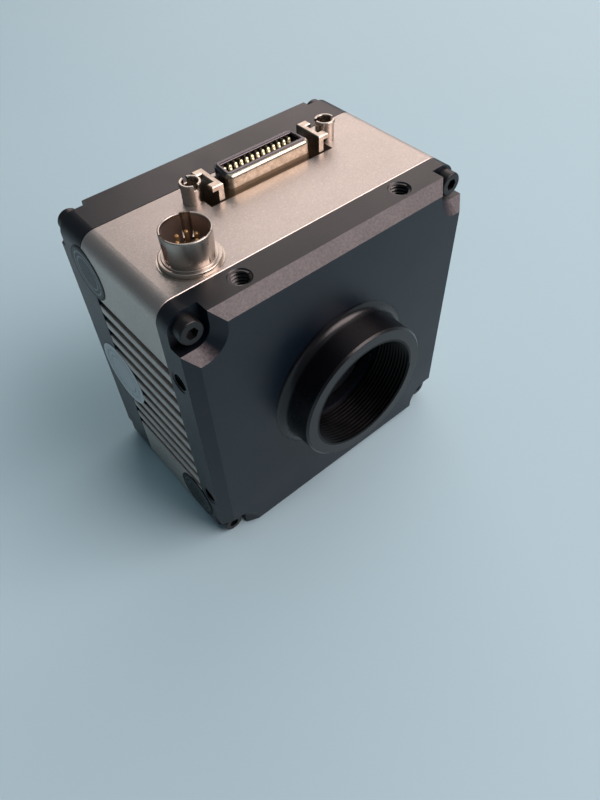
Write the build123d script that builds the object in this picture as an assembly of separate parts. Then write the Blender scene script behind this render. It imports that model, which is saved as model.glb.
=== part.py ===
from build123d import *
import math
import os

# A machine vision camera: a silver extruded housing with side cooling grooves between two black
# end plates. The front plate carries a threaded lens mount ring, and the top face carries a round
# power connector and a flat data connector with latch ears and jack posts.
# Frame: millimetres, +Z up, +X to the right seen from the front, +Y from the lens to the back.
# The origin is on the optical axis, at the front rim of the lens mount ring.

# Body
body_w = 65.0
body_h = 65.0
corner_r = 3.5
front_t = 8.0
housing_l = 24.4
rear_t = 9.3
wall_t = 3.2
rear_wall_t = 3.0
boss_w = 6.2
face_chamfer = 2.1
rear_chamfer = 0.4

# Clearances
thread_gap = 0.03
screw_gap = 0.2
slip_gap = 0.05
stud_gap = 0.1
overshoot = 1.0

# Side grooves of the housing
groove_count = 10
groove_pitch = 4.0
groove_w = 2.0
groove_depth = 1.5
groove_edge = 0.15
end_edge = 0.2

# Corner screws and the notches they sit in
screw_inset = 3.0
screw_d = 2.5
head_d = 4.5
head_h = 2.5
head_edge = 0.3
socket_af = 2.0
socket_depth = 1.1
screw_bite = 7.0
tap_depth = 8.5
notch_r = 3.1
front_notch_depth = 4.8
rear_notch_depth = 1.85

# Tapped holes round the front plate, two in each side
side_hole_r = 2.0
side_hole_depth = 6.5
side_hole_reach = 18.0
side_hole_inset = 5.0
side_hole_edge = 0.2

# Lens mount ring
ring_h = 7.1
ring_r = 15.2
lens_thread_r = 12.7
ring_flange_r = 17.0
ring_flange_t = 2.2
ring_fillet = 1.2
ring_edge = 0.4
flange_focal = 17.526
ring_screw_count = 3
ring_screw_circle_r = 15.5
ring_screw_d = 2.0
ring_screw_head_d = 3.4
ring_screw_head_h = 1.3
ring_screw_sink = 1.5
ring_screw_bite = 1.5
ring_socket_af = 1.3
ring_socket_depth = 0.7

# Filter in the back of the front plate
aperture_r = 11.5
filter_pocket_r = 13.5
filter_pocket_depth = 3.8
gasket_t = 0.4
filter_t = 1.0
retainer_t = 1.6
retainer_w = 1.6
retainer_slot_w = 1.2
retainer_slot_depth = 0.7

# Image sensor
die_w = 12.8
die_h = 9.6
die_t = 0.7
package_w = 26.0
package_h = 20.0
package_t = 2.5
package_floor_t = 0.8
package_step = 2.4
lid_t = 0.7
lid_inset = 1.6

# Circuit boards
board_t = 1.6
board_side_gap = 3.3
board_end_gap = 1.3
board_top_drop = 12.5
board_corner_r = 1.5
spacer_share = 0.25

# Hexagonal standoffs between the boards
standoff_inset_x = 3.5
standoff_inset_z = 4.0
standoff_af = 4.0
stud_d = 2.0
plate_stud_l = 2.6
stud_bite = 1.8
standoff_bore = 2.2
board_screw_head_d = 3.8
board_screw_head_h = 1.5

# Chips, coil and heat path
processor_w = 17.0
processor_t = 2.2
processor_z = -4.0
pad_t = 1.0
bridge_side_gap = 3.7
bridge_t = 2.0
bridge_top_z = 6.0
bridge_foot_gap = 0.9
memory_w = 11.0
memory_h = 8.0
memory_t = 1.2
memory_x = 8.0
memory_z = 2.0
driver_w = 8.0
driver_h = 6.0
driver_t = 1.6
driver_x = 6.5
driver_z = 13.0
coil_w = 10.0
coil_t = 4.2
coil_x = -12.0
coil_z = -10.0
capacitor_r = 3.1
capacitor_h = 4.4
capacitor_count = 3
capacitor_pitch = 8.0
capacitor_x = 2.0
capacitor_z = -10.0

# Stacking connectors between the boards
link_l = 24.0
link_w = 5.6
link_tongue_l = 20.0
link_tongue_w = 2.2
link_tongue_share = 0.6
link_base_h = 2.6
link_gap = 0.1
sensor_link_z = -16.0
io_link_inset_x = 5.0

# Data connector on the top face
data_inset_x = 28.4
data_inset_y = 5.1
data_cut_w = 28.8
data_cut_l = 7.7
shell_front_w = 19.6
shell_back_w = 17.8
shell_l = 6.1
shell_h = 3.45
shell_t = 0.6
shell_corner_r = 1.2
shell_lip_t = 0.7
shell_lip_r = 0.45
mouth_corner_r = 0.3
mouth_edge_r = 0.3
shell_flange_w = 37.0
shell_flange_l = 8.1
shell_flange_t = 0.8
insulator_block_w = 20.6
insulator_block_h = 7.0
slot_w = 16.6
slot_half_l = 1.4
slot_depth = 7.0
contact_count = 13
contact_pitch = 1.27
contact_w = 0.55
contact_t = 0.3
contact_drop = 0.76
contact_bow = 0.25
contact_bow_l = 1.3
contact_reach = 0.8
back_tail_h = 5.4
front_tail_h = 2.4
board_hole_gap = 0.15

# Latch ears at the ends of the data connector
ear_x = 11.2
ear_t = 1.1
ear_l = 6.7
ear_shift_y = -0.2
ear_drop = 0.15
ear_hook_w = 1.2
ear_hook_l = 1.6
ear_hook_h = 0.9
ear_edge = 0.15

# Jack posts
post_x = 15.75
post_r = 1.85
post_rim_w = 0.2
post_rim_h = 0.5
post_h = 4.05
post_bore_r = 1.45
post_bore_depth = 3.6
post_slot_w = 0.9
post_slot_depth = 1.2
left_slot_turn = 90.0
right_slot_turn = 155.0
post_stud_r = 1.15
post_rim_edge = 0.22
jack_nut_af = 4.5
jack_nut_t = 1.8

# Round power connector
power_inset_x = 11.3
power_inset_y = 6.0
barrel_r = 4.4
barrel_root_r = 4.2
barrel_inner_r = 3.95
barrel_h = 6.1
barrel_lip_r = 0.2
barrel_edge_r = 0.1
barrel_flange_r = 5.35
barrel_flange_t = 0.7
barrel_collar_r = 4.75
neck_r = 4.35
barrel_collar_h = 0.25
barrel_neck_l = 7.2
washer_r = 5.65
washer_t = 0.25
keyway_w = 1.8
keyway_depth = 0.22
keyway_turn = 57.0
keyway_count = 3
guide_w = 1.4
guide_depth = 0.3
guide_low = 0.6
guide_top = 1.2
insert_h = 0.9
pin_count = 6
pin_circle_r = 1.8
pin_r = 0.38
pin_h = 4.3
pin_tail_l = 1.2
pin_tip_r = 0.27
power_nut_af = 10.0
power_nut_t = 2.0
power_board_l = 10.6
power_board_t = 1.2
power_board_drop = 2.5
power_link_l = 9.0
power_link_t = 2.6
power_link_h = 2.8

# Round seals on the left side
seal_t = 0.12
seal_edge_depth = 32.4
seal_upper_drop = 7.9
seal_upper_r = 5.45
seal_middle_z = -2.5
seal_middle_r = 7.4
seal_low_depth = 10.9
seal_low_rise = 8.0
seal_low_r = 5.6

# Places worked out from the sizes above
y_face = ring_h
y_front_back = y_face + front_t
y_rear_front = y_front_back + housing_l
y_back = y_rear_front + rear_t
x_side = body_w / 2
z_top = body_h / 2
z_ceiling = z_top - wall_t
board_w = body_w - 2 * wall_t - 2 * board_side_gap
board_top_z = z_top - board_top_drop
io_board_top_z = z_ceiling - board_end_gap
board_low_z = -io_board_top_z
standoff_x = board_w / 2 - standoff_inset_x
standoff_top_z = board_top_z - standoff_inset_z
standoff_low_z = board_low_z + standoff_inset_z
io_link_x = standoff_x - io_link_inset_x
bridge_w = 2 * (io_link_x - link_w / 2 - bridge_side_gap)
power_x = power_inset_x - x_side
data_x = x_side - data_inset_x
filter_y = y_front_back - filter_pocket_depth
package_y = flange_focal + die_t + package_floor_t - package_t
sensor_board_y = package_y + package_t
processing_board_y = sensor_board_y + board_t + spacer_share * housing_l
data_y = y_rear_front - data_inset_y
io_board_y = data_y + shell_flange_l / 2 + slip_gap
power_y = y_front_back + power_inset_y
z_flange_low = z_ceiling - shell_flange_t
power_board_top = z_top - barrel_neck_l - power_board_drop
power_board_low = power_board_top - power_board_t

corners = [(sx, sz) for sx in (-1, 1) for sz in (-1, 1)]
standoff_spots = [(sx * standoff_x, z) for sx in (-1, 1) for z in (standoff_low_z, standoff_top_z)]


# Shapes that many pieces share

def slab(outline, y0, y1):
    """An outline drawn in X and Z, extruded from y0 back to y1."""
    return extrude(Plane.XZ.offset(-y1) * outline, amount=y1 - y0)


def column(outline, z0, z1):
    """An outline drawn in X and Y, extruded from z0 up to z1."""
    return extrude(Plane.XY.offset(z0) * outline, amount=z1 - z0)


def block(x0, x1, y0, y1, z0, z1):
    middle = Pos((x0 + x1) / 2, (y0 + y1) / 2, (z0 + z1) / 2)
    return middle * Box(x1 - x0, y1 - y0, z1 - z0)


def rod(r, h):
    """A cylinder that stands on z = 0."""
    return Cylinder(r, h, align=(Align.CENTER, Align.CENTER, Align.MIN))


def hexagon(across_flats):
    return RegularPolygon(across_flats / 2, 6, major_radius=False)


def facing_front(x, y, z):
    """A place whose local +Z points at the front of the camera."""
    return Pos(x, y, z) * Rot(90, 0, 0)


def facing_back(x, y, z):
    """A place whose local +Z points at the back of the camera."""
    return Pos(x, y, z) * Rot(-90, 0, 0)


def cap_screw(d, length, head_width, head_height, edge, af, drive_depth):
    """A cylinder head screw: the head stands on z = 0 and the shank hangs below it."""
    head = rod(head_width / 2, head_height)
    head = fillet(head.edges().group_by(Axis.Z)[-1], edge)
    drive = column(hexagon(af), head_height - drive_depth, head_height + overshoot)
    shank = Pos(0, 0, -length) * rod(d / 2, length)
    return head - drive + shank


def notch_outlines():
    """A square notch at each corner of the body, rounded about the screw."""
    reach = 2 * (screw_inset + notch_r)
    notch = RectangleRounded(reach, reach, notch_r)
    notches = Sketch()
    for sx, sz in corners:
        notches += Pos(sx * x_side, sz * z_top) * notch
    return notches


def screw_places(y, place):
    inset_x = x_side - screw_inset
    inset_z = z_top - screw_inset
    return [place(sx * inset_x, y, sz * inset_z) for sx, sz in corners]


def body_outline():
    return RectangleRounded(body_w, body_h, corner_r)


def cavity_outline():
    """The inside of the body: a rectangle that leaves a square screw boss in each corner."""
    wide = Rectangle(body_w - 2 * wall_t, body_h - 2 * boss_w)
    tall = Rectangle(body_w - 2 * boss_w, body_h - 2 * wall_t)
    return wide + tall


# End plates and housing

def front_plate():
    y_floor = y_face + front_notch_depth
    face = slab(body_outline() - notch_outlines(), y_face, y_floor)
    plate = chamfer(face.edges().group_by(Axis.Y)[0], face_chamfer)
    plate += slab(body_outline(), y_floor, y_front_back)
    for place in screw_places(y_floor, facing_front):
        plate -= place * Pos(0, 0, -front_t) * rod(screw_d / 2 + screw_gap, front_t + overshoot)
    plate -= facing_back(0, y_face - overshoot, 0) * rod(
        ring_flange_r + slip_gap, ring_flange_t + overshoot)
    plate -= facing_back(0, y_face, 0) * rod(aperture_r, front_t)
    plate -= facing_back(0, filter_y, 0) * rod(filter_pocket_r, filter_pocket_depth + overshoot)
    for hole in side_holes():
        plate -= hole
    for x, z in standoff_spots:
        stud_hole = rod(stud_d / 2 + thread_gap, plate_stud_l + slip_gap + overshoot)
        plate -= facing_front(x, y_front_back + overshoot, z) * stud_hole
    for place in ring_screw_places(y_front_back - ring_screw_sink):
        plate -= place * rod(ring_screw_head_d / 2 + slip_gap, ring_screw_sink + overshoot)
        plate -= place * Pos(0, 0, -front_t) * rod(ring_screw_d / 2 + thread_gap, front_t)
    return plate


def side_holes():
    """Two tapped holes in each of the four sides of the front plate."""
    y = y_face + side_hole_inset
    hole = Pos(0, 0, -side_hole_depth) * rod(side_hole_r, side_hole_depth + overshoot)
    hole += Pos(0, 0, -side_hole_edge / 2) * Cone(
        side_hole_r, side_hole_r + side_hole_edge, side_hole_edge)
    holes = []
    for shift in (-side_hole_reach, side_hole_reach):
        holes.append(Pos(shift, y, z_top) * hole)
        holes.append(Pos(shift, y, -z_top) * Rot(180, 0, 0) * hole)
        holes.append(Pos(x_side, y, shift) * Rot(0, 90, 0) * hole)
        holes.append(Pos(-x_side, y, shift) * Rot(0, -90, 0) * hole)
    return holes


def groove_outline(side):
    """The section of one side's grooves, with their edges broken."""
    x = side * x_side
    mouth = groove_w / 2 + groove_edge
    half = groove_w / 2
    grooves = Sketch()
    for i in range(groove_count):
        z = (i - (groove_count - 1) / 2) * groove_pitch
        points = [
            (x + side * overshoot, z - mouth),
            (x, z - mouth),
            (x - side * groove_edge, z - half),
            (x - side * groove_depth, z - half),
            (x - side * groove_depth, z + half),
            (x - side * groove_edge, z + half),
            (x, z + mouth),
            (x + side * overshoot, z + mouth),
        ]
        grooves += make_face(Polyline(*points, close=True))
    return grooves


def housing():
    shell = slab(body_outline(), y_front_back, y_rear_front)
    ends = shell.edges().group_by(Axis.Y)
    shell = chamfer(ends[0] + ends[-1], end_edge)
    inside = cavity_outline()
    for side in (-1, 1):
        inside += groove_outline(side)
    shell -= slab(inside, y_front_back - overshoot, y_rear_front + overshoot)
    tap = Pos(0, 0, -tap_depth) * rod(screw_d / 2 + thread_gap, tap_depth + overshoot)
    for place in screw_places(y_front_back, facing_front):
        shell -= place * tap
    for place in screw_places(y_rear_front, facing_back):
        shell -= place * tap
    shell -= Pos(data_x, data_y, z_top - wall_t / 2) * Box(
        data_cut_w, data_cut_l, wall_t + 2 * overshoot)
    through = rod(post_stud_r + stud_gap, wall_t + 2 * overshoot)
    for side in (-1, 1):
        shell -= Pos(data_x + side * post_x, data_y, z_ceiling - overshoot) * through
    shell -= Pos(power_x, power_y, z_ceiling - overshoot) * rod(
        neck_r + slip_gap, wall_t + 2 * overshoot)
    return shell


def rear_plate():
    plate = slab(body_outline(), y_rear_front, y_back)
    plate = chamfer(plate.edges().group_by(Axis.Y)[-1], rear_chamfer)
    plate -= slab(cavity_outline(), y_rear_front - overshoot, y_back - rear_wall_t)
    plate -= slab(notch_outlines(), y_back - rear_notch_depth, y_back + overshoot)
    for place in screw_places(y_back - rear_notch_depth, facing_back):
        plate -= place * Pos(0, 0, -rear_t) * rod(screw_d / 2 + screw_gap, rear_t + overshoot)
    return plate


def front_screws():
    length = front_t - front_notch_depth + screw_bite
    screw = cap_screw(screw_d, length, head_d, head_h, head_edge, socket_af, socket_depth)
    return [place * screw for place in screw_places(y_face + front_notch_depth, facing_front)]


def rear_screws():
    length = rear_t - rear_notch_depth + screw_bite
    screw = cap_screw(screw_d, length, head_d, head_h, head_edge, socket_af, socket_depth)
    return [place * screw for place in screw_places(y_back - rear_notch_depth, facing_back)]


# Lens mount and filter

def lens_mount_ring():
    """A turned ring: the section is drawn with X as the radius and Y as the depth."""
    y_end = y_face + ring_flange_t
    outline = Polyline(
        (ring_r, y_face - ring_fillet),
        (ring_r, ring_edge),
        (ring_r - ring_edge, 0),
        (lens_thread_r, 0),
        (lens_thread_r, y_end),
        (ring_flange_r, y_end),
        (ring_flange_r, y_face),
        (ring_r + ring_fillet, y_face),
    )
    neck = RadiusArc(outline @ 1, outline @ 0, ring_fillet)
    ring = revolve(make_face(outline + neck), Axis.Y)
    hole_depth = ring_screw_bite + slip_gap
    for place in ring_screw_places(y_end):
        ring -= place * Pos(0, 0, -hole_depth) * rod(
            ring_screw_d / 2 + thread_gap, hole_depth + overshoot)
    return ring


def ring_screw_places(y):
    places = []
    for i in range(ring_screw_count):
        turn = math.radians(90 + i * 360 / ring_screw_count)
        x = ring_screw_circle_r * math.cos(turn)
        z = ring_screw_circle_r * math.sin(turn)
        places.append(facing_back(x, y, z))
    return places


def ring_screws():
    """Screws from the back of the front plate, which hold the lens mount ring."""
    length = front_t - ring_screw_sink - ring_flange_t + ring_screw_bite
    screw = cap_screw(ring_screw_d, length, ring_screw_head_d, ring_screw_head_h,
                      head_edge, ring_socket_af, ring_socket_depth)
    return [place * screw for place in ring_screw_places(y_front_back - ring_screw_sink)]


def washer(outer_r, inner_r, t):
    return rod(outer_r, t) - rod(inner_r, t)


def filter_gasket():
    outer_r = filter_pocket_r - slip_gap
    return facing_back(0, filter_y, 0) * washer(outer_r, outer_r - retainer_w, gasket_t)


def filter_glass():
    return facing_back(0, filter_y + gasket_t, 0) * rod(filter_pocket_r - slip_gap, filter_t)


def filter_retainer():
    """A threaded ring with two spanner slots in its back face."""
    outer_r = filter_pocket_r - thread_gap
    ring = washer(outer_r, outer_r - retainer_w, retainer_t)
    slot_z = retainer_t - retainer_slot_depth / 2
    ring -= Pos(0, 0, slot_z) * Box(2 * outer_r + overshoot, retainer_slot_w, retainer_slot_depth)
    return facing_back(0, filter_y + gasket_t + filter_t, 0) * ring


# Image sensor

def sensor_package():
    """An open ceramic tray with a ledge that the lid rests on."""
    y_floor = sensor_board_y - package_floor_t
    tray = slab(Rectangle(package_w, package_h), package_y, sensor_board_y)
    inner = Rectangle(package_w - 2 * package_step, package_h - 2 * package_step)
    return tray - slab(inner, package_y - overshoot, y_floor)


def sensor_die():
    return slab(Rectangle(die_w, die_h), flange_focal, flange_focal + die_t)


def sensor_lid():
    lid = Rectangle(package_w - 2 * lid_inset, package_h - 2 * lid_inset)
    return slab(lid, package_y - lid_t, package_y)


# Boards and what they carry

def board(y, top_z):
    outline = RectangleRounded(board_w, top_z - board_low_z, board_corner_r)
    panel = slab(Pos(0, (top_z + board_low_z) / 2) * outline, y, y + board_t)
    hole = Pos(0, 0, -overshoot) * rod(stud_d / 2 + screw_gap, board_t + 2 * overshoot)
    for x, z in standoff_spots:
        panel -= facing_back(x, y, z) * hole
    return panel


def io_board():
    panel = board(io_board_y, io_board_top_z)
    gap = 2 * board_hole_gap
    for x, z in tail_spots():
        panel -= Pos(x, io_board_y + board_t / 2, z) * Box(
            contact_w + gap, board_t + 2 * overshoot, contact_t + gap)
    return panel


def standoff(length, stud_l):
    """A hexagonal pillar on z = 0, with a stud below and a tapped bore above."""
    pillar = column(hexagon(standoff_af), 0, length)
    pillar -= Pos(0, 0, length - standoff_bore) * rod(
        stud_d / 2 + thread_gap, standoff_bore + overshoot)
    return pillar + Pos(0, 0, -stud_l) * rod(stud_d / 2, stud_l)


def standoffs(y0, y1, stud_l):
    pillar = standoff(y1 - y0, stud_l)
    return [facing_back(x, y0, z) * pillar for x, z in standoff_spots]


def board_screws():
    screw = cap_screw(stud_d, board_t + stud_bite, board_screw_head_d, board_screw_head_h,
                      head_edge, ring_socket_af, ring_socket_depth)
    return [facing_back(x, io_board_y + board_t, z) * screw for x, z in standoff_spots]


def link_tongue_h(y0, y1):
    return link_tongue_share * (y1 - y0 - link_base_h)


def link_socket(y0, y1):
    """The lower half of a stacking connector, on the board in front: a block with a slot."""
    body = slab(Rectangle(link_l, link_w), y0, y1 - link_base_h)
    slot = Rectangle(link_tongue_l + 2 * link_gap, link_tongue_w + 2 * link_gap)
    depth = link_tongue_h(y0, y1) + link_gap
    return body - slab(slot, y1 - link_base_h - depth, y1)


def link_plug(y0, y1):
    """The upper half, on the board behind: a base with a tongue that enters the slot."""
    body = slab(Rectangle(link_l, link_w), y1 - link_base_h, y1)
    tongue = slab(Rectangle(link_tongue_l, link_tongue_w),
                  y1 - link_base_h - link_tongue_h(y0, y1), y1 - link_base_h)
    return body + tongue


def processor_chip():
    y = processing_board_y + board_t
    chip = slab(Rectangle(processor_w, processor_w), y, y + processor_t)
    return Pos(0, 0, processor_z) * chip


def thermal_pad():
    y = processing_board_y + board_t + processor_t
    pad = slab(Rectangle(processor_w, processor_w), y, y + pad_t)
    return Pos(0, 0, processor_z) * pad


def heat_bridge():
    """An angle that carries the processor's heat to the floor of the housing."""
    y = processing_board_y + board_t + processor_t + pad_t
    z_floor = -z_ceiling
    upright = block(-bridge_w / 2, bridge_w / 2, y, y + bridge_t, z_floor, bridge_top_z)
    foot = block(-bridge_w / 2, bridge_w / 2, y, io_board_y - bridge_foot_gap,
                 z_floor, z_floor + bridge_t)
    return upright + foot


def memory_chips():
    chip = slab(Rectangle(memory_w, memory_h), processing_board_y - memory_t, processing_board_y)
    return [Pos(side * memory_x, 0, memory_z) * chip for side in (-1, 1)]


def driver_chips():
    chip = slab(Rectangle(driver_w, driver_h), io_board_y - driver_t, io_board_y)
    return [Pos(side * driver_x, 0, driver_z) * chip for side in (-1, 1)]


def power_coil():
    y = io_board_y + board_t
    coil = slab(RectangleRounded(coil_w, coil_w, board_corner_r), y, y + coil_t)
    return Pos(coil_x, 0, coil_z) * coil


def capacitors():
    can = rod(capacitor_r, capacitor_h)
    y = io_board_y + board_t
    return [facing_back(capacitor_x + i * capacitor_pitch, y, capacitor_z) * can
            for i in range(capacitor_count)]


# Data connector

def d_outline(inset):
    """The outline of the data connector, wider at the front, drawn inset from the shell."""
    front = shell_front_w / 2 - inset
    back = shell_back_w / 2 - inset
    half = shell_l / 2 - inset
    corners_xy = [(-front, -half), (front, -half), (back, half), (-back, half)]
    outline = make_face(Polyline(*corners_xy, close=True))
    return fillet(outline.vertices(), shell_corner_r - inset)


def data_shell():
    """A drawn sheet shell: a flange under the wall and a tube with its rim curled in."""
    rim = z_top + shell_h
    tube = column(d_outline(0), z_flange_low, rim)
    tube = fillet(tube.edges().group_by(Axis.Z)[-1], shell_lip_r)
    hollow = column(d_outline(shell_t), z_flange_low - overshoot, rim - shell_lip_t)
    mouth = RectangleRounded(slot_w, 2 * slot_half_l, mouth_corner_r)
    flange = column(Rectangle(shell_flange_w, shell_flange_l), z_flange_low, z_ceiling)
    through = rod(post_stud_r + stud_gap, shell_flange_t + 2 * overshoot)
    for side in (-1, 1):
        flange -= Pos(side * post_x, 0, z_flange_low - overshoot) * through
    shell = flange + tube - hollow - column(mouth, z_flange_low, rim + overshoot)
    mouth_edges = shell.faces().sort_by(Axis.Z)[-1].inner_wires()[0].edges()
    shell = fillet(mouth_edges, mouth_edge_r)
    return Pos(data_x, data_y, 0) * shell


def contact_x(i):
    return (i - (contact_count - 1) / 2) * contact_pitch


def tail_z(row):
    """The height of a row's tails: the front row leaves below the back row."""
    drop = back_tail_h if row > 0 else front_tail_h
    return z_flange_low - insulator_block_h + drop


def tail_spots():
    return [(data_x + contact_x(i), tail_z(row)) for row in (-1, 1) for i in range(contact_count)]


def contact(i, row):
    """One bent strip: bowed against the slot's wall, then back through the board."""
    x = contact_x(i)
    x0 = x - contact_w / 2
    x1 = x + contact_w / 2
    wall = row * slot_half_l
    face = row * (slot_half_l - contact_t)
    crest = row * (slot_half_l - contact_t - contact_bow)
    tip = z_top + shell_h - contact_drop
    z = tail_z(row)
    low = z - contact_t / 2
    y_end = io_board_y - data_y + board_t + contact_reach
    side = Polyline((face, tip), (wall, tip), (wall, low), (face, low), (face, tip - contact_bow_l))
    bend = ThreePointArc(side @ 1, (crest, tip - contact_bow_l / 2), side @ 0)
    front = Pos(x, tip - contact_w / 2) * Circle(contact_w / 2)
    front += Pos(x, (low + tip - contact_w / 2) / 2) * Rectangle(contact_w, tip - contact_w / 2 - low)
    upright = extrude(Plane.YZ.offset(x0) * make_face(side + bend), amount=contact_w)
    upright &= slab(front, min(wall, crest), max(wall, crest))
    tail = block(x0, x1, min(wall, face), y_end, low, z + contact_t / 2)
    return Pos(data_x, data_y, 0) * (upright + tail)


def contacts():
    return [contact(i, row) for row in (-1, 1) for i in range(contact_count)]


def data_insulator():
    """A moulded block behind the flange with a slotted head inside the shell."""
    rim = z_top + shell_h - shell_lip_t - slip_gap
    head = column(d_outline(shell_t + slip_gap), z_flange_low, rim)
    low = z_flange_low - insulator_block_h
    back = io_board_y - data_y
    base = block(-insulator_block_w / 2, insulator_block_w / 2, -shell_l / 2, back, low, z_flange_low)
    slot = block(-slot_w / 2, slot_w / 2, -slot_half_l, slot_half_l, rim - slot_depth, rim + overshoot)
    body = Pos(data_x, data_y, 0) * (head + base - slot)
    for strip in contacts():
        body -= strip
    return body


def latch_ear(side):
    """An upright plate with an outward hook at each end of its top edge."""
    top = z_top + shell_h - ear_drop
    x0 = side * ear_x
    x1 = side * (ear_x + ear_t)
    x2 = side * (ear_x + ear_t + ear_hook_w)
    plate = block(min(x0, x1), max(x0, x1), -ear_l / 2, ear_l / 2, z_ceiling, top)
    for end in (-1, 1):
        y0 = end * (ear_l / 2 - ear_hook_l)
        y1 = end * ear_l / 2
        plate += block(min(x0, x2), max(x0, x2), min(y0, y1), max(y0, y1), top - ear_hook_h, top)
    plate = chamfer(plate.edges().group_by(Axis.Z)[-1], ear_edge)
    return Pos(data_x, data_y + ear_shift_y, 0) * plate


def jack_post(side, turn):
    """A turned post with a driver slot, a tapped bore and a stud through the wall."""
    rim_r = post_r + post_rim_w
    post = rod(post_r, post_h) + Pos(0, 0, post_h - post_rim_h) * rod(rim_r, post_rim_h)
    post -= Pos(0, 0, post_h - post_bore_depth) * rod(post_bore_r, post_bore_depth + overshoot)
    post = fillet(post.edges().group_by(Axis.Z)[-1], post_rim_edge)
    slot = Pos(0, 0, post_h - post_slot_depth / 2 + overshoot / 2) * Box(
        2 * rim_r + overshoot, post_slot_w, post_slot_depth + overshoot)
    post -= Rot(0, 0, turn) * slot
    stud_l = wall_t + shell_flange_t + jack_nut_t
    post += Pos(0, 0, -stud_l) * rod(post_stud_r, stud_l)
    return Pos(data_x + side * post_x, data_y, z_top) * post


def jack_nuts():
    nut = column(hexagon(jack_nut_af), 0, jack_nut_t) - rod(post_stud_r + thread_gap, jack_nut_t)
    z = z_flange_low - jack_nut_t
    return [Pos(data_x + side * post_x, data_y, z) * nut for side in (-1, 1)]


# Power connector

def power_place(z):
    return Pos(power_x, power_y, z)


def power_washer():
    return power_place(z_top) * washer(washer_r, neck_r + slip_gap, washer_t)


def power_shell():
    """A turned shell: threaded neck below the flange, keyed barrel above it."""
    z_flange = washer_t + barrel_flange_t
    barrel_l = barrel_h - z_flange
    barrel = Pos(0, 0, z_flange + barrel_l / 2) * Cone(barrel_root_r, barrel_r, barrel_l)
    collar = Pos(0, 0, z_flange) * rod(barrel_collar_r, barrel_collar_h)
    collar = fillet(collar.edges().group_by(Axis.Z)[-1], barrel_edge_r)
    flange = Pos(0, 0, washer_t) * rod(barrel_flange_r, barrel_flange_t)
    flange = fillet(flange.edges().group_by(Axis.Z)[-1], barrel_lip_r)
    neck = Pos(0, 0, -barrel_neck_l) * rod(neck_r, barrel_neck_l + washer_t)
    shell = barrel + collar + flange + neck
    shell -= Pos(0, 0, -barrel_neck_l) * rod(barrel_inner_r, barrel_neck_l + barrel_h)
    shell = fillet(shell.edges().group_by(Axis.Z)[-1], barrel_lip_r)
    key_l = barrel_h - insert_h
    key = Pos(barrel_inner_r, 0, insert_h + key_l / 2) * Box(
        2 * keyway_depth, keyway_w, key_l + overshoot)
    for i in range(keyway_count):
        shell -= Rot(0, 0, keyway_turn + i * 360 / keyway_count) * key
    guide_low_z = z_flange + guide_low
    guide_l = barrel_h - guide_top - guide_low_z
    shell -= Pos(-barrel_r, 0, guide_low_z + guide_l / 2) * Box(2 * guide_depth, guide_w, guide_l)
    return power_place(z_top) * shell


def pin_spots():
    spots = []
    for i in range(pin_count):
        turn = math.radians(i * 360 / pin_count)
        spots.append((pin_circle_r * math.cos(turn), pin_circle_r * math.sin(turn)))
    return spots


def power_insert():
    insert = Pos(0, 0, -barrel_neck_l) * rod(barrel_inner_r - slip_gap, barrel_neck_l + insert_h)
    for x, y in pin_spots():
        insert -= Pos(x, y, -barrel_neck_l) * rod(pin_r, barrel_neck_l + insert_h)
    return power_place(z_top) * insert


def power_pins():
    low = power_board_low - pin_tail_l - z_top
    pin = Pos(0, 0, low) * rod(pin_r, pin_h - low)
    pin = fillet(pin.edges().group_by(Axis.Z)[-1], pin_tip_r)
    return [power_place(z_top) * Pos(x, y, 0) * pin for x, y in pin_spots()]


def power_nut():
    nut = column(Rot(0, 0, 30) * hexagon(power_nut_af), 0, power_nut_t)
    nut -= rod(neck_r + thread_gap, power_nut_t)
    return power_place(z_ceiling - power_nut_t) * nut


def power_board():
    y_end = processing_board_y - slip_gap
    y_start = power_y - power_board_l / 2
    panel = block(power_x - power_board_l / 2, power_x + power_board_l / 2, y_start, y_end,
                  power_board_low, power_board_top)
    for x, y in pin_spots():
        panel -= Pos(power_x + x, power_y + y, power_board_low) * rod(
            pin_r + thread_gap, power_board_t)
    return panel


def power_link():
    """The header that joins the power board to the processing board."""
    return block(power_x - power_link_l / 2, power_x + power_link_l / 2,
                 processing_board_y - power_link_t, processing_board_y,
                 power_board_low - power_link_h, power_board_low)


# Seals

def seal(depth, z, r):
    """A thin round sticker that follows the side of the body and its rounded corners."""
    y = y_face + depth
    skin = RectangleRounded(body_w + 2 * seal_t, body_h + 2 * seal_t, corner_r + seal_t)
    sleeve = slab(skin - body_outline(), y - r - overshoot, y + r + overshoot)
    return sleeve & (Pos(overshoot - x_side, y, z) * Rot(0, -90, 0) * rod(r, 2 * overshoot))


# Every piece, under the name of its file

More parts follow.
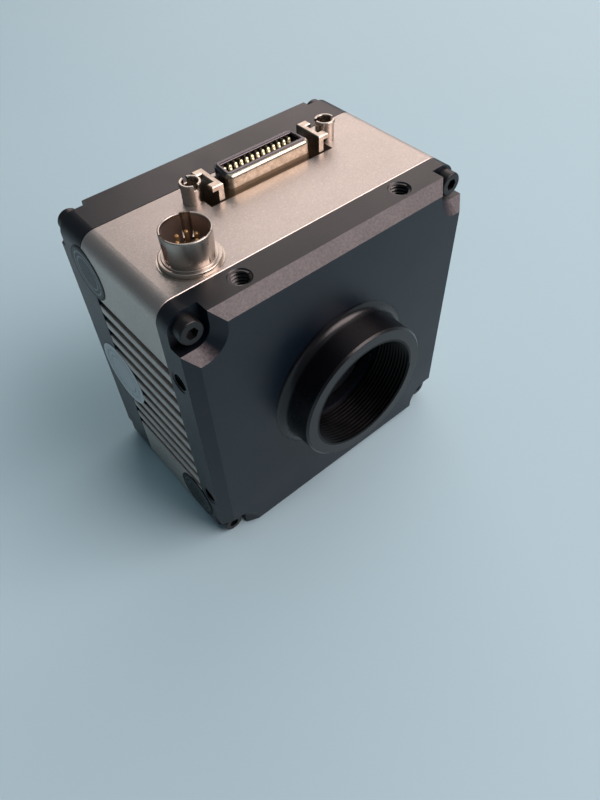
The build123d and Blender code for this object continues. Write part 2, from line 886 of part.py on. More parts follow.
def pieces():
    yield "front_plate", front_plate()
    yield "housing", housing()
    yield "rear_plate", rear_plate()
    yield "front_screws", front_screws()
    yield "rear_screws", rear_screws()
    yield "lens_mount_ring", lens_mount_ring()
    yield "lens_ring_screws", ring_screws()
    yield "filter_gasket", filter_gasket()
    yield "filter_glass", filter_glass()
    yield "filter_retainer", filter_retainer()
    yield "sensor_package", sensor_package()
    yield "sensor_die", sensor_die()
    yield "sensor_lid", sensor_lid()
    yield "sensor_board", board(sensor_board_y, board_top_z)
    yield "processing_board", board(processing_board_y, board_top_z)
    yield "io_board", io_board()
    yield "sensor_standoffs", standoffs(y_front_back, sensor_board_y, plate_stud_l)
    yield "board_spacers", standoffs(
        sensor_board_y + board_t, processing_board_y, board_t + stud_bite)
    yield "io_spacers", standoffs(
        processing_board_y + board_t, io_board_y, board_t + stud_bite)
    yield "board_screws", board_screws()
    sensor_link = Pos(0, 0, sensor_link_z)
    sensor_gap = sensor_board_y + board_t, processing_board_y
    yield "sensor_link_socket", sensor_link * link_socket(*sensor_gap)
    yield "sensor_link_plug", sensor_link * link_plug(*sensor_gap)
    io_link = Pos(io_link_x, 0, processor_z) * Rot(0, 90, 0)
    io_gap = processing_board_y + board_t, io_board_y
    yield "io_link_socket", io_link * link_socket(*io_gap)
    yield "io_link_plug", io_link * link_plug(*io_gap)
    yield "processor_chip", processor_chip()
    yield "thermal_pad", thermal_pad()
    yield "heat_bridge", heat_bridge()
    yield "memory_chips", memory_chips()
    yield "driver_chips", driver_chips()
    yield "power_coil", power_coil()
    yield "capacitors", capacitors()
    yield "data_shell", data_shell()
    yield "data_insulator", data_insulator()
    yield "data_contacts", contacts()
    yield "latch_ear_left", latch_ear(-1)
    yield "latch_ear_right", latch_ear(1)
    yield "jack_post_left", jack_post(-1, left_slot_turn)
    yield "jack_post_right", jack_post(1, right_slot_turn)
    yield "jack_nuts", jack_nuts()
    yield "power_shell", power_shell()
    yield "power_washer", power_washer()
    yield "power_insert", power_insert()
    yield "power_pins", power_pins()
    yield "power_nut", power_nut()
    yield "power_board", power_board()
    yield "power_link", power_link()
    yield "seal_upper", seal(seal_edge_depth, z_top - seal_upper_drop, seal_upper_r)
    yield "seal_middle", seal(seal_edge_depth, seal_middle_z, seal_middle_r)
    yield "seal_low", seal(seal_low_depth, seal_low_rise - z_top, seal_low_r)


os.makedirs("parts", exist_ok=True)
for name, shape in pieces():
    if isinstance(shape, list):
        shape = Compound(children=shape)
    export_step(shape, os.path.join("parts", name + ".step"))
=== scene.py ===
import math

import bmesh
import bpy
from mathutils import Matrix, Vector


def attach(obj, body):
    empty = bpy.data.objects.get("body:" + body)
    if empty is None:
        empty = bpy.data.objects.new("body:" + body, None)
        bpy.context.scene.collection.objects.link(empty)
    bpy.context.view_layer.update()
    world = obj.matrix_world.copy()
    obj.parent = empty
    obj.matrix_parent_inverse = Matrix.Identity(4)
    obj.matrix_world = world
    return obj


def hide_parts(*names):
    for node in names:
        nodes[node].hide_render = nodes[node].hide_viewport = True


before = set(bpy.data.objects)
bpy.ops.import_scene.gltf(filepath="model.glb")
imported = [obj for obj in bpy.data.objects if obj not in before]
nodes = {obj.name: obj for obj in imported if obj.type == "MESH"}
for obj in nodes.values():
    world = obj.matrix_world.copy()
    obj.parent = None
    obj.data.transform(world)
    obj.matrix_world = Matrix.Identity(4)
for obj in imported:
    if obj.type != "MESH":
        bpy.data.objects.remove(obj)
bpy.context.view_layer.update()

MM = 0.001

# Sizes repeated from the model, in millimetres
BODY = 65.0
HALF = BODY / 2
FRONT_Y = 7.1
THREAD_R = 12.7
RING_R = 15.2
RING_EDGE = 0.4
RING_FOOT_R = 17.0
SIDE_HOLE_Y = 12.1
SIDE_HOLE_REACH = 18.0
SIDE_HOLE_EDGE = 0.2
DATA_X = 4.1
DATA_Y = 34.4
SHELL_RIM_Z = 35.95
SHELL_LIP_T = 0.7
SHELL_T = 0.6
SHELL_FRONT = 9.8
SHELL_BACK = 8.9
SHELL_HALF_L = 3.05
SHELL_CORNER_R = 1.2
SLOT_HALF_W = 8.3
SLOT_HALF_L = 1.4
MOUTH_EDGE_R = 0.3
CONTACT_COUNT = 13
CONTACT_PITCH = 1.27
POWER_X = -21.2
POWER_Y = 21.1
BARREL_INNER_R = 3.95
BARREL_H = 6.1
KEYWAY_DEPTH = 0.22

# Each seal's place along Y and Z, and its radius
SEALS = {
    "seal_upper": (39.5, 24.6, 5.45),
    "seal_middle": (39.5, -2.5, 7.4),
    "seal_low": (18.0, -24.5, 5.6),
}

# Sizes of the new pieces, in millimetres. A thread's root lies a little outside its bore
THREAD_CREST = (0.44, 0.56)
LENS_ROOT_R = THREAD_R + 0.02
LENS_CREST_R = 12.27
LENS_PITCH = 0.794
LENS_THREAD_LENGTH = 9.0
LENS_THREAD_STEPS = 160
SIDE_ROOT_R = 2.02
SIDE_CREST_R = 1.65
SIDE_PITCH = 0.7
SIDE_THREAD_LENGTH = 6.0
SIDE_THREAD_STEPS = 48
RING_CUT_Y = 8.2
RING_SUPPORT = 0.04
RING_COVE_STEPS = 14
RING_TURN_STEPS = 192
SHELL_CUT_Z = 34.4
SHELL_CORNER_STEPS = 6
SHELL_ROUND_DROP = 0.85
SHELL_ROUND_SHARE = 0.60
SHELL_ROUND_STEPS = 8
SHELL_MOUTH_DROP = 0.22
SHELL_MOUTH_SHARE = 0.86
SHELL_MOUTH_STEPS = 4
TIP_UNDER_RIM = 0.62
TIP_INSET = 0.28
TIP_HALF_W = 0.38
TIP_H = 1.7
TIP_CREST = 0.52
TIP_POINT = 0.004
TIP_STEPS = 12
TIP_COLUMNS = 9

# Distances in millimetres within which points of a mesh count as one
WELD = 0.0001
SHELL_WELD = 0.0005
SLIVER = 0.0002

# Directions, and the spans and results that ramps use
UP = (0.0, 0.0, 1.0)
UP_AND_FORWARD = (0.0, -0.7071, 0.7071)
SPREAD = (0.3, 0.7)
MIDDLE = (0.35, 0.65)
RISING = (0.0, 1.0)
FALLING = (1.0, 0.0)


def mm(*values):
    """Millimetres as a tuple of metres."""
    return tuple(value * MM for value in values)


# Materials. Sizes of grain, mottle and bump are in millimetres, and colours are linear

class Paint:
    """A material with a Principled shader and short calls to add the nodes that feed it."""

    def __init__(self, name, **values):
        self.material = bpy.data.materials.new(name)
        self.material.use_nodes = True
        self.tree = self.material.node_tree
        self.shader = self.tree.nodes["Principled BSDF"]
        self.set(**values)
        self.place = self.add("ShaderNodeTexCoord").outputs["Object"]

    def feed(self, socket, value):
        """Link a node's output to a socket, or write a value there."""
        if isinstance(value, bpy.types.NodeSocket):
            self.tree.links.new(value, socket)
        elif socket.type == "RGBA":
            socket.default_value = (*value, 1.0)
        else:
            socket.default_value = value

    def set(self, **values):
        for key, value in values.items():
            self.feed(self.shader.inputs[key.replace("_", " ")], value)

    def fed(self, name):
        """The output that feeds one of the shader's sockets."""
        return self.shader.inputs[name].links[0].from_socket

    def add(self, kind, settings=None, numbered=(), **named):
        """A new node, with its settings, its sockets by number and its sockets by name."""
        node = self.tree.nodes.new(kind)
        for key, value in (settings or {}).items():
            setattr(node, key, value)
        for index, value in numbered:
            self.feed(node.inputs[index], value)
        for key, value in named.items():
            self.feed(node.inputs[key.replace("_", " ")], value)
        return node

    def noise(self, size_mm, detail=2.0, rough=0.5):
        node = self.add("ShaderNodeTexNoise", Vector=self.place, Scale=1.0 / (size_mm * MM),
                        Detail=detail, Roughness=rough)
        return node.outputs["Fac"]

    def ramp(self, value, span, result=RISING):
        """As the value crosses the span, the result goes from its first number to its second."""
        node = self.add("ShaderNodeMapRange", Value=value, From_Min=span[0], From_Max=span[1],
                        To_Min=result[0], To_Max=result[1])
        return node.outputs["Result"]

    def uneven(self, value, rough, less=0.04, more=0.06):
        """A roughness that varies round the one named."""
        return self.ramp(value, SPREAD, (rough - less, rough + more))

    def blend(self, amount, a, b):
        """Two colours mixed by amount."""
        node = self.add("ShaderNodeMix", {"data_type": "RGBA"}, ((0, amount), (6, a), (7, b)))
        return node.outputs[2]

    def math(self, operation, a, b=0.0):
        return self.add("ShaderNodeMath", {"operation": operation}, ((0, a), (1, b))).outputs[0]

    def vector_math(self, operation, *values):
        return self.add("ShaderNodeVectorMath", {"operation": operation}, enumerate(values))

    def reach(self, centre_mm, flat):
        """The distance in metres from a centre, measured only along the axes named by flat."""
        offset = self.vector_math("SUBTRACT", self.place, mm(*centre_mm)).outputs[0]
        kept = self.vector_math("MULTIPLY", offset, flat).outputs[0]
        return self.vector_math("LENGTH", kept).outputs["Value"]

    def facing(self, direction, span):
        """1 where the surface faces a direction, 0 where the cosine to it is under the span."""
        normal = self.add("ShaderNodeTexCoord").outputs["Normal"]
        cosine = self.vector_math("DOT_PRODUCT", normal, direction)
        return self.ramp(cosine.outputs["Value"], span)

    def height(self):
        return self.add("ShaderNodeSeparateXYZ", Vector=self.place).outputs["Z"]

    def bump(self, height, depth_mm):
        node = self.add("ShaderNodeBump", Strength=1.0, Distance=depth_mm * MM, Height=height)
        return node.outputs["Normal"]


def anodised_black():
    """Black with dust in its grain, a painted cool reflection of the floor on upright faces, and a
    painted grainy highlight where a chamfer faces up.
    """
    deep = (0.001, 0.0022, 0.0045)
    soft = (0.002, 0.0035, 0.0065)
    dust = (0.014, 0.013, 0.014)
    # The next colour is a painted reflection of the bluish floor.
    floor_reflection_tint = (0.0, 0.006, 0.016)
    # The next colour is a painted highlight for the chamfer that faces up.
    chamfer_highlight = (0.078, 0.061, 0.067)
    p = Paint("anodised_black", Metallic=0.0, IOR=1.46)
    cloud = p.noise(9.0, detail=3.0)
    grain = p.noise(0.24, detail=3.0, rough=0.7)
    base = p.blend(p.ramp(cloud, SPREAD), deep, soft)
    base = p.blend(p.ramp(grain, (0.5, 0.8), (0.0, 0.6)), base, dust)
    # Painted reflection: faces that don't face up are tinted half towards the cool floor colour they
    # mirror.
    top = p.facing(UP, (0.4, 0.9))
    base = p.blend(top, p.blend(0.5, base, floor_reflection_tint), base)
    # Painted highlight: the chamfer that faces up and forward takes a grainy pinkish colour for the lamp
    # it mirrors, with cut as its grain.
    chamfer = p.facing(UP_AND_FORWARD, (0.90, 0.97))
    cut = p.ramp(p.noise(0.45, detail=4.0, rough=0.8), (0.38, 0.62), (0.15, 1.0))
    base = p.blend(p.math("MULTIPLY", chamfer, cut), base, chamfer_highlight)
    p.set(Base_Color=base, Roughness=p.ramp(cloud, SPREAD, (0.34, 0.40)),
          Normal=p.bump(grain, 0.022))
    return p.material


def ring_black():
    deep = (0.001, 0.001, 0.0022)
    soft = (0.0022, 0.0018, 0.003)
    p = Paint("ring_black", Metallic=0.0, Specular_IOR_Level=0.42)
    cloud = p.noise(5.0, detail=3.0)
    grain = p.noise(0.12)
    p.set(Base_Color=p.blend(p.ramp(cloud, SPREAD), deep, soft),
          Roughness=p.ramp(cloud, SPREAD, (0.26, 0.31)), Normal=p.bump(grain, 0.004))
    return p.material


def blasted_silver():
    """Blasted aluminium: soft clouds, darker pits in the grain and small glints."""
    light = (0.50, 0.455, 0.42)
    lighter = (0.54, 0.49, 0.455)
    pit = (0.38, 0.345, 0.32)
    spark = (0.86, 0.80, 0.76)
    p = Paint("blasted_silver", Metallic=1.0)
    cloud = p.noise(14.0, detail=3.0)
    grain = p.noise(0.34, detail=4.0, rough=0.75)
    glint = p.ramp(p.noise(0.2, detail=1.0), (0.6, 0.76))
    base = p.blend(p.ramp(cloud, SPREAD), light, lighter)
    base = p.blend(p.ramp(grain, (0.35, 0.6), (0.0, 0.35)), base, pit)
    base = p.blend(p.math("MULTIPLY", glint, 0.4), base, spark)
    p.set(Base_Color=base, Roughness=p.ramp(grain, SPREAD, (0.38, 0.50)),
          Normal=p.bump(grain, 0.03))
    return p.material


def nickel(name, light, dark, rough, mottle_mm=1.6):
    p = Paint(name, Metallic=1.0)
    cloud = p.noise(mottle_mm, detail=4.0, rough=0.65)
    p.set(Base_Color=p.blend(p.ramp(cloud, MIDDLE), light, dark), Roughness=p.uneven(cloud, rough),
          Normal=p.bump(cloud, 0.006))
    return p


def plain_nickel(*values):
    return nickel(*values).material


def shell_nickel():
    """Nickel, with painted shade on the flat rim and in the data connector's mouth, and a bronze painted
    shade low down where the shell goes into the cut-out gap.
    """
    # The next colour is painted shade for the flat top of the rim and the slot's mouth.
    dull = (0.11, 0.10, 0.11)
    # The next colour is painted shade for the shell's low part inside the cut-out gap.
    bronze = (0.22, 0.165, 0.11)
    gap_shade_z = 33.3
    p = nickel("shell_nickel", (0.52, 0.455, 0.365), (0.35, 0.295, 0.225), 0.25, 1.3)
    bright = p.fed("Base Color")
    even = p.fed("Roughness")
    flat_top = p.ramp(p.height(), mm(SHELL_RIM_Z - 0.10, SHELL_RIM_Z - 0.02))
    from_slot = p.reach((0.0, DATA_Y, 0.0), (0.0, 1.0, 0.0))
    mouth = SLOT_HALF_L + MOUTH_EDGE_R
    in_slot = p.ramp(from_slot, mm(mouth, mouth + 0.1), FALLING)
    # Painted shade: the flat rim and the mouth take the dark colour.
    base = p.blend(p.math("MAXIMUM", flat_top, in_slot), bright, dull)
    # Painted shade: low down, inside the cut-out gap, the shell takes the bronze colour and some more
    # roughness.
    low = p.ramp(p.height(), mm(gap_shade_z, gap_shade_z + 0.25), FALLING)
    p.set(Base_Color=p.blend(low, base, bronze),
          Roughness=p.math("ADD", even, p.math("MULTIPLY", low, 0.2)))
    return p.material


def barrel_nickel():
    """Nickel outside, dull bronze on the inside wall and the keyways of the power connector."""
    bronze = (0.60, 0.50, 0.445)
    bronze_rough = 0.42
    p = nickel("barrel_nickel", (0.47, 0.43, 0.385), (0.42, 0.38, 0.34), 0.29, 3.0)
    bright = p.fed("Base Color")
    even = p.fed("Roughness")
    reach = p.reach((POWER_X, POWER_Y, 0.0), (1.0, 1.0, 0.0))
    wall = BARREL_INNER_R + KEYWAY_DEPTH
    inside = p.ramp(reach, mm(wall + 0.02, wall + 0.03), FALLING)
    top = HALF + BARREL_H
    under = p.ramp(p.height(), mm(top - 0.5, top - 0.3), FALLING)
    dull = p.math("MULTIPLY", inside, under)
    p.set(Base_Color=p.blend(dull, bright, bronze),
          Roughness=p.math("MAXIMUM", even, p.math("MULTIPLY", dull, bronze_rough)))
    return p.material


def gold(name, light, dark, rough, metallic=1.0):
    p = Paint(name, Metallic=metallic)
    cloud = p.noise(0.6, detail=3.0)
    p.set(Base_Color=p.blend(cloud, light, dark), Roughness=p.uneven(cloud, rough))
    return p.material


def moulded(name, color, rough, specular=0.4):
    """Plastic, rubber, ceramic or a black finish, with lighter clouds and a fine grain."""
    lighter = tuple(c * 1.35 + 0.002 for c in color)
    p = Paint(name, Metallic=0.0, Specular_IOR_Level=specular)
    cloud = p.noise(2.5, detail=3.0)
    grain = p.noise(0.12)
    p.set(Base_Color=p.blend(p.ramp(cloud, SPREAD), color, lighter),
          Roughness=p.uneven(cloud, rough), Normal=p.bump(grain, 0.004))
    return p.material


def darker(color):
    return tuple(c * 0.8 for c in color)


def metal(name, color, rough):
    p = Paint(name, Metallic=1.0)
    cloud = p.noise(1.2, detail=3.0)
    grain = p.noise(0.1)
    p.set(Base_Color=p.blend(cloud, color, darker(color)),
          Roughness=p.uneven(cloud, rough, 0.05, 0.08), Normal=p.bump(grain, 0.004))
    return p.material


def glass(name, color, alpha):
    p = Paint(name, Metallic=0.0, IOR=1.5, Alpha=alpha)
    film = p.noise(4.0)
    p.set(Base_Color=p.blend(film, color, darker(color)),
          Roughness=p.ramp(film, SPREAD, (0.03, 0.08)))
    return p.material


def board_green():
    """Green lacquer over a weave of glass cloth."""
    deep = (0.010, 0.085, 0.035)
    soft = (0.016, 0.13, 0.055)
    thread = (0.03, 0.19, 0.08)
    weave_scale = 700.0
    p = Paint("board_green", Metallic=0.0, Coat_Weight=0.3, Coat_Roughness=0.25, Roughness=0.4)
    weave = p.add("ShaderNodeTexBrick", Vector=p.place, Scale=weave_scale).outputs["Fac"]
    cloud = p.noise(3.0, detail=3.0)
    base = p.blend(p.ramp(cloud, MIDDLE), deep, soft)
    p.set(Base_Color=p.blend(p.math("MULTIPLY", weave, 0.4), base, thread))
    return p.material


def seal_film(name, place, paper, line, rim):
    """A film with a bare middle, rings round it and a rim of another tone."""
    ripple = 34.0
    y, z, radius = place
    p = Paint(name, Metallic=0.0, IOR=1.13)
    share = p.math("DIVIDE", p.reach((0.0, y, z), (0.0, 1.0, 1.0)), radius * MM)
    wave = p.math("SINE", p.math("MULTIPLY", share, ripple))
    scuff = p.noise(1.1, detail=4.0, rough=0.7)
    rings = p.math("MULTIPLY", p.ramp(wave, (0.2, 0.9)), p.ramp(scuff, (0.35, 0.6), (0.2, 1.0)))
    rings = p.math("MULTIPLY", rings, p.ramp(share, (0.52, 0.58)))
    edge = p.ramp(share, (0.90, 0.93))
    base = p.blend(rings, paper, line)
    p.set(Base_Color=p.blend(edge, base, rim), Roughness=p.ramp(scuff, SPREAD, (0.25, 0.4)))
    return p.material


def floor_paint():
    deep = (0.395, 0.565, 0.63)
    soft = (0.42, 0.585, 0.65)
    p = Paint("floor_paint", Metallic=0.0, Specular_IOR_Level=0.3, Roughness=0.6)
    p.set(Base_Color=p.blend(p.noise(120.0), deep, soft))
    return p.material


# Colour, roughness and specular level
MOULDED = {
    "thread_black": ((0.004, 0.004, 0.0045), 0.3, 0.55),
    "lens_black": ((0.0006, 0.0007, 0.001), 0.34, 0.14),
    "black_oxide": ((0.003, 0.003, 0.0033), 0.36, 0.42),
    "black_plastic": ((0.007, 0.007, 0.0075), 0.45),
    "brown_plastic": ((0.05, 0.031, 0.022), 0.42),
    "chip": ((0.014, 0.014, 0.015), 0.55),
    "rubber": ((0.01, 0.01, 0.01), 0.7, 0.2),
    "pad": ((0.12, 0.16, 0.24), 0.75, 0.2),
    "ceramic": ((0.035, 0.026, 0.024), 0.5),
    "die": ((0.02, 0.028, 0.06), 0.12, 0.9),
    "ferrite": ((0.03, 0.03, 0.031), 0.55),
}
# Colour and roughness
METALS = {
    "zinc": ((0.62, 0.62, 0.60), 0.3),
    "plain_aluminium": ((0.72, 0.72, 0.72), 0.4),
}
# Light colour, dark colour, roughness and the size of the mottle
NICKELS = {
    "nickel": ((0.50, 0.45, 0.385), (0.37, 0.325, 0.275), 0.30),
    "turned_nickel": ((0.50, 0.455, 0.40), (0.43, 0.385, 0.34), 0.25, 3.0),
}
# Light colour, dark colour, roughness and how metallic it is
GOLDS = {
    "gold": ((0.42, 0.27, 0.115), (0.33, 0.205, 0.085), 0.48, 0.8),
    "pale_gold": ((1.0, 0.95, 0.68), (0.97, 0.90, 0.60), 0.42),
}
# Colour and how opaque it is
GLASSES = {
    "filter_glass": ((0.08, 0.10, 0.12), 0.25),
    "lid_glass": ((0.6, 0.66, 0.68), 0.2),
}
# Colours of the film, its rings and its rim
SEAL_COLOURS = {
    "seal_upper": ((0.075, 0.085, 0.088), (0.34, 0.37, 0.385), (0.02, 0.023, 0.025)),
    "seal_middle": ((0.52, 0.555, 0.575), (0.28, 0.31, 0.33), (0.60, 0.64, 0.66)),
    "seal_low": ((0.025, 0.03, 0.033), (0.12, 0.135, 0.14), (0.01, 0.012, 0.014)),
}
FAMILIES = ((moulded, MOULDED), (metal, METALS), (plain_nickel, NICKELS), (gold, GOLDS), (glass, GLASSES))
PAINT = {
    "anodised_black": anodised_black(),
    "ring_black": ring_black(),
    "blasted_silver": blasted_silver(),
    "shell_nickel": shell_nickel(),
    "barrel_nickel": barrel_nickel(),
    "board_green": board_green(),
    "floor_paint": floor_paint(),
}
for make, family in FAMILIES:
    for name, values in family.items():
        PAINT[name] = make(name, *values)
for name, place in SEALS.items():
    PAINT[name] = seal_film(name + "_film", place, *SEAL_COLOURS[name])

DRESS = {
    "anodised_black": ["front_plate", "rear_plate"],
    "ring_black": ["lens_mount_ring", "filter_retainer"],
    "blasted_silver": ["housing"],
    "black_oxide": ["front_screws", "rear_screws", "lens_ring_screws"],
    "zinc": ["board_screws", "jack_nuts", "sensor_standoffs", "board_spacers", "io_spacers"],
    "rubber": ["filter_gasket"],
    "filter_glass": ["filter_glass"],
    "lid_glass": ["sensor_lid"],
    "ceramic": ["sensor_package"],
    "die": ["sensor_die"],
    "board_green": ["sensor_board", "processing_board", "io_board", "power_board"],
    "black_plastic": ["sensor_link_socket", "sensor_link_plug", "io_link_socket", "io_link_plug",
                      "power_link", "data_insulator"],
    "brown_plastic": ["power_insert"],
    "chip": ["processor_chip", "memory_chips", "driver_chips"],
    "pad": ["thermal_pad"],
    "plain_aluminium": ["heat_bridge", "capacitors"],
    "ferrite": ["power_coil"],
    "nickel": ["latch_ear_left", "latch_ear_right"],
    "shell_nickel": ["data_shell"],
    "turned_nickel": ["jack_post_left", "jack_post_right", "power_washer", "power_nut"],
    "barrel_nickel": ["power_shell"],
    "gold": ["power_pins"],
    "pale_gold": ["data_contacts"],
    "seal_upper": ["seal_upper"],
    "seal_middle": ["seal_middle"],
    "seal_low": ["seal_low"],
}


def dress(obj, paint):
    obj.data.materials.clear()
    obj.data.materials.append(PAINT[paint])


for paint, names in DRESS.items():
    for name in names:
        dress(nodes[name], paint)


# New pieces

def mesh_of(name, verts, faces):
    mesh = bpy.data.meshes.new(name)
    mesh.from_pydata(verts, [], faces)
    mesh.update()
    return mesh


def mesh_from(bm, name):
    mesh = bpy.data.meshes.new(name)
    bm.to_mesh(mesh)
    bm.free()
    return mesh


def turn_faces_out(mesh):
    bm = bmesh.new()
    bm.from_mesh(mesh)
    bmesh.ops.recalc_face_normals(bm, faces=bm.faces)
    bm.to_mesh(mesh)
    bm.free()


def piece(name, mesh, paint):
    turn_faces_out(mesh)
    obj = bpy.data.objects.new(name, mesh)
    bpy.context.scene.collection.objects.link(obj)
    dress(obj, paint)
    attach(obj, "root")
    return obj


def smooth(obj, degrees):
    obj.data.shade_smooth()
    obj.data.set_sharp_from_angle(angle=math.radians(degrees))


def quarter_turn(steps, first=0):
    """The angles of a quarter turn in even steps."""
    return [math.pi / 2 * i / steps for i in range(first, steps + 1)]


def cut_away(name, point_mm, direction):
    """A copy of a node's mesh without what lies beyond a plane."""
    bm = bmesh.new()
    bm.from_mesh(nodes[name].data)
    bmesh.ops.remove_doubles(bm, verts=bm.verts, dist=WELD * MM)
    everything = bm.verts[:] + bm.edges[:] + bm.faces[:]
    bmesh.ops.bisect_plane(bm, geom=everything, plane_co=mm(*point_mm), plane_no=direction,
                           clear_outer=True)
    return bm


def skin(bm, rings):
    """Faces from each ring of points to the next, and from the last ring to the first."""
    loops = [[bm.verts.new(mm(*point)) for point in ring] for ring in rings]
    count = len(loops[0])
    for low, high in zip(loops, loops[1:] + loops[:1]):
        for i in range(count):
            j = (i + 1) % count
            bm.faces.new((low[i], low[j], high[j], high[i]))


def thread_mesh(name, root_r, crest_r, pitch, length, steps, place):
    """An inside thread: a ridge wound along local -Z from the mouth at z = 0."""
    count = int(length / pitch * steps)
    low, high = THREAD_CREST
    profile = [(root_r, 0.0), (crest_r, low * pitch), (crest_r, high * pitch), (root_r, pitch)]
    verts = []
    for i in range(count + 1):
        angle = 2 * math.pi * i / steps
        drop = pitch * i / steps
        for r, along in profile:
            z = -min(max(drop + along - pitch, 0.0), length)
            verts.append(place @ Vector(mm(r * math.cos(angle), r * math.sin(angle), z)))
    wide = len(profile)
    faces = []
    for i in range(count):
        for j in range(wide):
            a = i * wide + j
            b = i * wide + (j + 1) % wide
            faces.append((a, b, b + wide, a + wide))
    faces.append(tuple(range(wide)))
    faces.append(tuple(count * wide + j for j in reversed(range(wide))))
    return mesh_of(name, verts, faces)


def ring_mesh():
    """The mount's ring with a concave foot: the back part is cut from the model's piece."""
    bm = cut_away("lens_mount_ring", (0, RING_CUT_Y, 0), (0, -1, 0))
    near = RING_SUPPORT
    inner = RING_R - RING_EDGE
    cove_r = RING_FOOT_R - RING_R
    profile = [
        (THREAD_R, RING_CUT_Y),
        (THREAD_R, near),
        (THREAD_R, 0.0),
        (THREAD_R + near, 0.0),
        (inner - near, 0.0),
        (inner, 0.0),
        (inner + near, near),
        (RING_R - near, RING_EDGE - near),
        (RING_R, RING_EDGE),
        (RING_R, RING_EDGE + near),
        (RING_R, FRONT_Y - cove_r - near),
    ]
    for angle in quarter_turn(RING_COVE_STEPS):
        profile.append((RING_FOOT_R - cove_r * math.cos(angle), FRONT_Y - cove_r * (1 - math.sin(angle))))
    profile.append((RING_FOOT_R, RING_CUT_Y))
    turns = [2 * math.pi * i / RING_TURN_STEPS for i in range(RING_TURN_STEPS)]
    skin(bm, [[(r * math.cos(a), y, r * math.sin(a)) for a in turns] for r, y in profile])
    return mesh_from(bm, "lens_mount_ring_coved")


def shell_outline(inset):
    """The outline of the data connector's shell, drawn inset, with its corners rounded."""
    front = SHELL_FRONT - inset
    back = SHELL_BACK - inset
    half = SHELL_HALF_L - inset
    corners = [Vector(c) for c in ((-front, -half), (front, -half), (back, half), (-back, half))]
    radius = SHELL_CORNER_R - inset
    points = []
    for i, corner in enumerate(corners):
        before = (corners[i - 1] - corner).normalized()
        after = (corners[(i + 1) % len(corners)] - corner).normalized()
        half_angle = before.angle(after) / 2
        centre = corner + (before + after).normalized() * radius / math.sin(half_angle)
        start = corner + before * radius / math.tan(half_angle) - centre
        sweep = math.pi - 2 * half_angle
        for j in range(SHELL_CORNER_STEPS + 1):
            angle = sweep * j / SHELL_CORNER_STEPS
            turned = Vector((start.x * math.cos(angle) - start.y * math.sin(angle),
                             start.x * math.sin(angle) + start.y * math.cos(angle)))
            points.append(centre + turned)
    return points


def shell_mesh():
    """The drawn shell with a full round to its rim: the low part is cut from the model's piece."""
    bm = cut_away("data_shell", (0, 0, SHELL_CUT_Z), (0, 0, 1))
    outer = shell_outline(0.0)
    inner = shell_outline(SHELL_T)
    mouth = [Vector((max(-SLOT_HALF_W, min(SLOT_HALF_W, p.x)),
                     max(-SLOT_HALF_L, min(SLOT_HALF_L, p.y)))) for p in outer]
    steps = [(0.0, SHELL_CUT_Z)]
    for angle in quarter_turn(SHELL_ROUND_STEPS):
        steps.append((SHELL_ROUND_SHARE * (1 - math.cos(angle)),
                      SHELL_RIM_Z - SHELL_ROUND_DROP * (1 - math.sin(angle))))
    for angle in quarter_turn(SHELL_MOUTH_STEPS, first=1):
        steps.append((SHELL_MOUTH_SHARE + (1 - SHELL_MOUTH_SHARE) * math.sin(angle),
                      SHELL_RIM_Z - SHELL_MOUTH_DROP * (1 - math.cos(angle))))
    rings = [([p.lerp(m, share) for p, m in zip(outer, mouth)], z) for share, z in steps]
    lip_z = SHELL_RIM_Z - SHELL_LIP_T
    rings += [(mouth, lip_z), (inner, lip_z), (inner, SHELL_CUT_Z)]
    skin(bm, [[(DATA_X + p.x, DATA_Y + p.y, z) for p in points] for points, z in rings])
    bmesh.ops.remove_doubles(bm, verts=bm.verts, dist=SHELL_WELD * MM)
    bmesh.ops.dissolve_degenerate(bm, edges=bm.edges, dist=SLIVER * MM)
    return mesh_from(bm, "data_shell_round")


def contact_tips():
    """A pointed dome on the face of each contact."""
    verts = []
    faces = []
    top = SHELL_RIM_Z - TIP_UNDER_RIM
    columns = TIP_COLUMNS
    across = [-1 + 2 * j / (columns - 1) for j in range(columns)]
    for row in (-1, 1):
        wall = DATA_Y + row * (SLOT_HALF_L - TIP_INSET)
        for n in range(CONTACT_COUNT):
            x = DATA_X + (n - (CONTACT_COUNT - 1) / 2) * CONTACT_PITCH
            first = len(verts)
            for i in range(TIP_STEPS + 1):
                t = i / TIP_STEPS
                wide = TIP_HALF_W * math.sqrt(max(math.sin(math.pi * t ** 0.8), 0.0)) + TIP_POINT
                bulge = TIP_CREST * math.sin(math.pi * t ** 1.8)
                for u in across:
                    rise = bulge * math.sqrt(max(1 - u ** 4, 0.0))
                    verts.append(mm(x + u * wide, wall - row * rise, top - t * TIP_H))
            for i in range(TIP_STEPS):
                for j in range(columns - 1):
                    a = first + i * columns + j
                    faces.append((a, a + 1, a + 1 + columns, a + columns))
            left = [first + i * columns for i in range(TIP_STEPS + 1)]
            right = [a + columns - 1 for a in reversed(left)]
            faces.append(tuple(left + right))
    return mesh_of("contact_tips", verts, faces)


facing_front = Matrix.Rotation(math.radians(90), 4, "X")
lens_thread = thread_mesh("lens_thread", LENS_ROOT_R, LENS_CREST_R, LENS_PITCH,
                          LENS_THREAD_LENGTH, LENS_THREAD_STEPS, facing_front)
piece("lens_thread", lens_thread, "lens_black")

ring = piece("lens_mount_ring_coved", ring_mesh(), "ring_black")
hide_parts("lens_mount_ring")
smooth(ring, 30)

shell = piece("data_shell_round", shell_mesh(), "shell_nickel")
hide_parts("data_shell")
smooth(shell, 40)

tips = piece("contact_tips", contact_tips(), "pale_gold")
smooth(tips, 60)

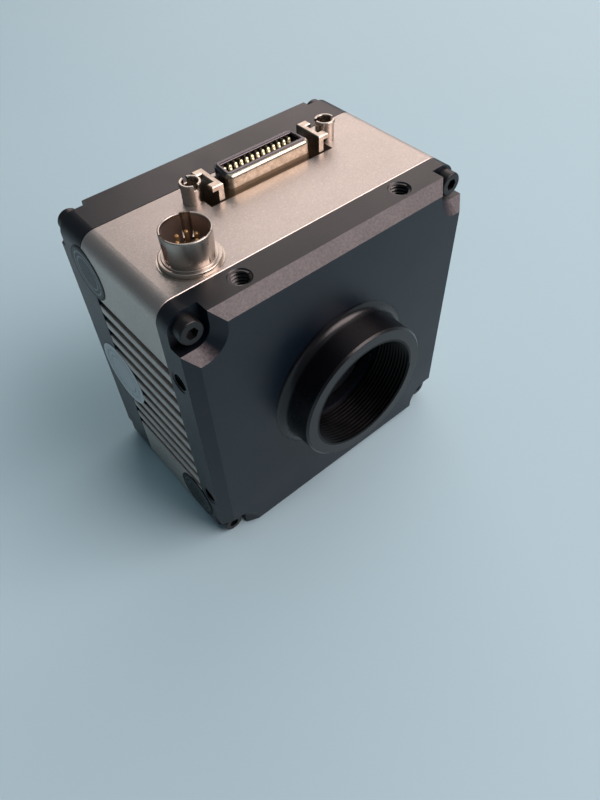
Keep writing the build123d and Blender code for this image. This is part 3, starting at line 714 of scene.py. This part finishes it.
SIDE_TURNS = {
    "top": Matrix.Identity(4),
    "bottom": Matrix.Rotation(math.pi, 4, "X"),
    "left": Matrix.Rotation(-math.pi / 2, 4, "Y"),
    "right": Matrix.Rotation(math.pi / 2, 4, "Y"),
}
for side, turn in SIDE_TURNS.items():
    for end, reach in (("low", -SIDE_HOLE_REACH), ("high", SIDE_HOLE_REACH)):
        centre = (0, SIDE_HOLE_Y, reach) if side in ("left", "right") else (reach, SIDE_HOLE_Y, 0)
        mouth = Matrix.Translation(mm(0, 0, HALF - SIDE_HOLE_EDGE))
        place = Matrix.Translation(mm(*centre)) @ turn @ mouth
        name = "thread_" + side + "_" + end
        side_thread = thread_mesh(name, SIDE_ROOT_R, SIDE_CREST_R, SIDE_PITCH,
                                  SIDE_THREAD_LENGTH, SIDE_THREAD_STEPS, place)
        piece(name, side_thread, "thread_black")


# Floor, light and camera, in metres

FLOOR_REACH = 4.0
LAMP_REACH = 1.6
LAMP_TARGET = (0, 0.02, 0)


def stage_floor():
    z = -HALF * MM
    corners = [(-FLOOR_REACH, -FLOOR_REACH, z), (FLOOR_REACH, -FLOOR_REACH, z),
               (FLOOR_REACH, FLOOR_REACH, z), (-FLOOR_REACH, FLOOR_REACH, z)]
    floor = bpy.data.objects.new("floor", mesh_of("floor", corners, [(0, 1, 2, 3)]))
    bpy.context.scene.collection.objects.link(floor)
    dress(floor, "floor_paint")


def world_light(color, strength):
    world = bpy.data.worlds.new("room")
    world.use_nodes = True
    back = world.node_tree.nodes["Background"]
    back.inputs["Color"].default_value = (*color, 1.0)
    back.inputs["Strength"].default_value = strength
    bpy.context.scene.world = world


def aimed(azimuth, height):
    """A lamp's place round the body, by compass angle from +X and angle above the floor."""
    flat = LAMP_REACH * math.cos(math.radians(height))
    return (flat * math.cos(math.radians(azimuth)), flat * math.sin(math.radians(azimuth)),
            LAMP_REACH * math.sin(math.radians(height)))


def softbox(name, place, size, power, color):
    light = bpy.data.lights.new(name, "AREA")
    light.shape = "RECTANGLE"
    light.size, light.size_y = size
    light.energy = power
    light.color = color
    obj = bpy.data.objects.new(name, light)
    obj.location = place
    aim = Vector(LAMP_TARGET) - Vector(place)
    obj.rotation_mode = "QUATERNION"
    obj.rotation_quaternion = aim.to_track_quat("-Z", "Y")
    bpy.context.scene.collection.objects.link(obj)


stage_floor()
world_light(color=(0.74, 0.88, 1.0), strength=0.14)
softbox("window", aimed(-50, 45), size=(1.35, 1.1), power=30.0, color=(1.0, 0.84, 0.82))
softbox("wall", aimed(38, 30), size=(1.8, 0.9), power=11.0, color=(1.0, 0.84, 0.79))
softbox("ceiling", (0.2, 0.2, 1.5), size=(1.2, 1.2), power=3.5, color=(0.84, 0.95, 1.0))

camera_data = bpy.data.cameras.new("camera")
camera_data.lens = 29.28
camera_data.sensor_width = 36.0
camera_data.clip_start = 0.005
camera = bpy.data.objects.new("camera", camera_data)
camera.location = (-0.06116, -0.05652, 0.09937)
camera.rotation_euler = [math.radians(a) for a in (39.333, 1.760, -40.383)]
bpy.context.scene.collection.objects.link(camera)
bpy.context.scene.camera = camera
bpy.context.scene.view_settings.view_transform = "Standard"
